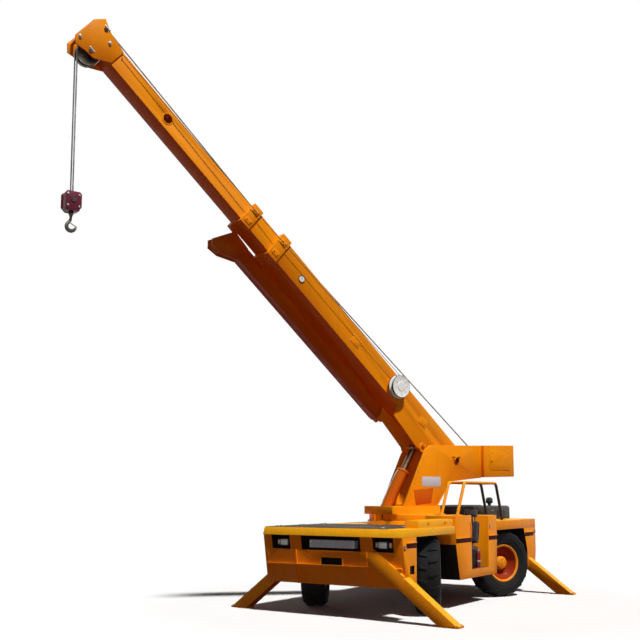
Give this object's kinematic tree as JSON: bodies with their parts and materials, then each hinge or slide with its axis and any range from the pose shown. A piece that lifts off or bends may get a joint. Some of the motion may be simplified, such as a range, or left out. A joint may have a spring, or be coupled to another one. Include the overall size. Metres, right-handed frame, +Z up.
{
  "type": "mobile crane",
  "caption": "Low carry-deck mobile crane with four-wheel steering, slanted outriggers, a slewing turret, a telescopic boom with a side-stowed jib, and a hook on wire rope.",
  "frame": {"origin": "on the ground under the slewing axis, level with the foot pads of the outriggers", "axes": "+X towards the front of the carrier, +Y to its left, +Z up"},
  "size_m": [8.7675, 4.313, 8.4647],
  "materials": {
    "body_paint": "gloss yellow-orange machinery enamel",
    "deck_tread": "dark non-slip deck coating",
    "hood_dark": "satin black-brown enamel",
    "light_grey": "light grey enamel, blank",
    "lamp_lens": "clear lamp lens",
    "red_lens": "red lamp lens",
    "engine_grey": "rough casting",
    "seat_vinyl": "black vinyl",
    "control_black": "matt black",
    "bottle_red": "gloss red enamel",
    "dark_steel": "machined and oiled",
    "rim_paint": "gloss orange enamel",
    "tyre_rubber": "matt black",
    "reel_white": "off-white enamel, dark rim",
    "sheave_steel": "worn steel",
    "rope_steel": "bright wire rope, oiled",
    "block_maroon": "maroon enamel",
    "hook_steel": "forged steel",
    "rod_chrome": "hard chrome"
  },
  "bodies": {
    "chassis": {"main_frame": "body_paint", "deck_plate": "body_paint", "deck_tread": "deck_tread", "front_box": "body_paint", "front_plate": "light_grey", "headlamps": "lamp_lens", "marker_lamps": "red_lens", "deck_curb": "body_paint", "rear_fenders": "body_paint", "rear_body": "body_paint", "engine_hood": "hood_dark", "engine_block": "engine_grey", "rear_grille": "hood_dark", "side_tank": "body_paint", "station_tub": "body_paint", "overhead_guard": "body_paint", "seat": "seat_vinyl", "controls": "control_black", "fire_bottle": "bottle_red", "turntable_ring": "dark_steel", "front_axle": "body_paint", "rear_axle": "body_paint"},
    "steer_front_left": {"knuckle_front_left": "dark_steel"},
    "wheel_front_left": {"rim_front_left": "rim_paint", "tyre_front_left": "tyre_rubber"},
    "steer_front_right": {"knuckle_front_right": "dark_steel"},
    "wheel_front_right": {"rim_front_right": "rim_paint", "tyre_front_right": "tyre_rubber"},
    "steer_rear_left": {"knuckle_rear_left": "dark_steel"},
    "wheel_rear_left": {"rim_rear_left": "rim_paint", "tyre_rear_left": "tyre_rubber"},
    "steer_rear_right": {"knuckle_rear_right": "dark_steel"},
    "wheel_rear_right": {"rim_rear_right": "rim_paint", "tyre_rear_right": "tyre_rubber"},
    "outrigger_front_left": {"outrigger_front_left": "body_paint"},
    "outrigger_front_right": {"outrigger_front_right": "body_paint"},
    "outrigger_rear_left": {"outrigger_rear_left": "body_paint"},
    "outrigger_rear_right": {"outrigger_rear_right": "body_paint"},
    "turret": {"turret_base": "body_paint", "turret_mast": "body_paint", "tail_box": "body_paint"},
    "boom_base": {"boom_base": "body_paint", "cable_reel": "reel_white", "jib": "body_paint"},
    "boom_mid": {"boom_mid": "body_paint"},
    "boom_fly": {"boom_fly": "body_paint", "boom_head": "body_paint", "head_sheaves": "sheave_steel"},
    "hanger": {"rope_fall": "rope_steel"},
    "hook": {"hook_block": "block_maroon", "hook": "hook_steel"},
    "lift_barrel": {"lift_barrel": "body_paint"},
    "lift_rod": {"lift_rod": "rod_chrome"}
  },
  "joints": [
    {"name": "steer_front_left", "type": "hinge", "parent": "chassis", "child": "steer_front_left", "pos_m": [1.3, 0.81, 0.59], "axis": [0, 0, 1], "range_deg": [-56, 0]},
    {"name": "steer_front_right", "type": "hinge", "parent": "chassis", "child": "steer_front_right", "pos_m": [1.3, -0.81, 0.59], "axis": [0, 0, 1], "range_deg": [-56, 0]},
    {"name": "steer_rear_left", "type": "hinge", "parent": "chassis", "child": "steer_rear_left", "pos_m": [-1.72, 0.81, 0.59], "axis": [0, 0, 1], "range_deg": [0, 56]},
    {"name": "steer_rear_right", "type": "hinge", "parent": "chassis", "child": "steer_rear_right", "pos_m": [-1.72, -0.81, 0.59], "axis": [0, 0, 1], "range_deg": [0, 56]},
    {"name": "spin_front_left", "type": "hinge", "parent": "steer_front_left", "child": "wheel_front_left", "pos_m": [1.21549, 0.96893, 0.59], "axis": [-0.4695, 0.8829, 0], "continuous": true},
    {"name": "spin_front_right", "type": "hinge", "parent": "steer_front_right", "child": "wheel_front_right", "pos_m": [1.38451, -0.96893, 0.59], "axis": [-0.4695, 0.8829, 0], "continuous": true},
    {"name": "spin_rear_left", "type": "hinge", "parent": "steer_rear_left", "child": "wheel_rear_left", "pos_m": [-1.63549, 0.96893, 0.59], "axis": [0.4695, 0.8829, 0], "continuous": true},
    {"name": "spin_rear_right", "type": "hinge", "parent": "steer_rear_right", "child": "wheel_rear_right", "pos_m": [-1.80451, -0.96893, 0.59], "axis": [0.4695, 0.8829, 0], "continuous": true},
    {"name": "outrigger_front_left_slide", "type": "slide", "parent": "chassis", "child": "outrigger_front_left", "axis": [0, 0.7934, -0.6088], "range_m": [-0.56, 0]},
    {"name": "outrigger_front_right_slide", "type": "slide", "parent": "chassis", "child": "outrigger_front_right", "axis": [0, -0.7934, -0.6088], "range_m": [-0.56, 0]},
    {"name": "outrigger_rear_left_slide", "type": "slide", "parent": "chassis", "child": "outrigger_rear_left", "axis": [0, 0.7934, -0.6088], "range_m": [-0.56, 0]},
    {"name": "outrigger_rear_right_slide", "type": "slide", "parent": "chassis", "child": "outrigger_rear_right", "axis": [0, -0.7934, -0.6088], "range_m": [-0.56, 0]},
    {"name": "slew", "type": "hinge", "parent": "chassis", "child": "turret", "pos_m": [0, 0, 1.37], "axis": [0, 0, 1], "continuous": true},
    {"name": "luff", "type": "hinge", "parent": "turret", "child": "boom_base", "pos_m": [-0.84854, 0.30884, 2.41], "axis": [-0.342, -0.9397, 0], "range_deg": [-40, 30]},
    {"name": "telescope_mid", "type": "slide", "parent": "boom_base", "child": "boom_mid", "axis": [0.7177, -0.2612, 0.6455], "range_m": [-0.4, 3.3]},
    {"name": "telescope_fly", "type": "slide", "parent": "boom_mid", "child": "boom_fly", "axis": [0.7177, -0.2612, 0.6455], "range_m": [-2.65, 0.75]},
    {"name": "hook_swing", "type": "hinge", "parent": "boom_fly", "child": "hanger", "pos_m": [5.59792, -2.03748, 7.92581], "axis": [-0.342, -0.9397, 0], "range_deg": [-30, 40]},
    {"name": "hoist", "type": "slide", "parent": "hanger", "child": "hook", "axis": [0, 0, -1], "range_m": [-1.7, 5], "deforming": ["rope_fall"]},
    {"name": "lift_tilt", "type": "hinge", "parent": "turret", "child": "lift_barrel", "pos_m": [0.50743, -0.18469, 1.49], "axis": [-0.342, -0.9397, 0], "range_deg": [-6.1, 8.1]},
    {"name": "lift_extend", "type": "slide", "parent": "lift_barrel", "child": "lift_rod", "axis": [-0.4962, 0.1806, 0.8492], "range_m": [-0.41, 0.31]}
  ],
  "couplings": [
    {"joint": "steer_front_right", "follows": "steer_front_left", "ratio": 1},
    {"joint": "steer_rear_left", "follows": "steer_front_left", "ratio": -1},
    {"joint": "steer_rear_right", "follows": "steer_front_left", "ratio": -1},
    {"joint": "hook_swing", "follows": "luff", "ratio": -1},
    {"joint": "lift_tilt", "follows": "luff", "ratio": -0.2},
    {"joint": "lift_extend", "follows": "luff", "m_per_rad": 0.58}
  ]
}
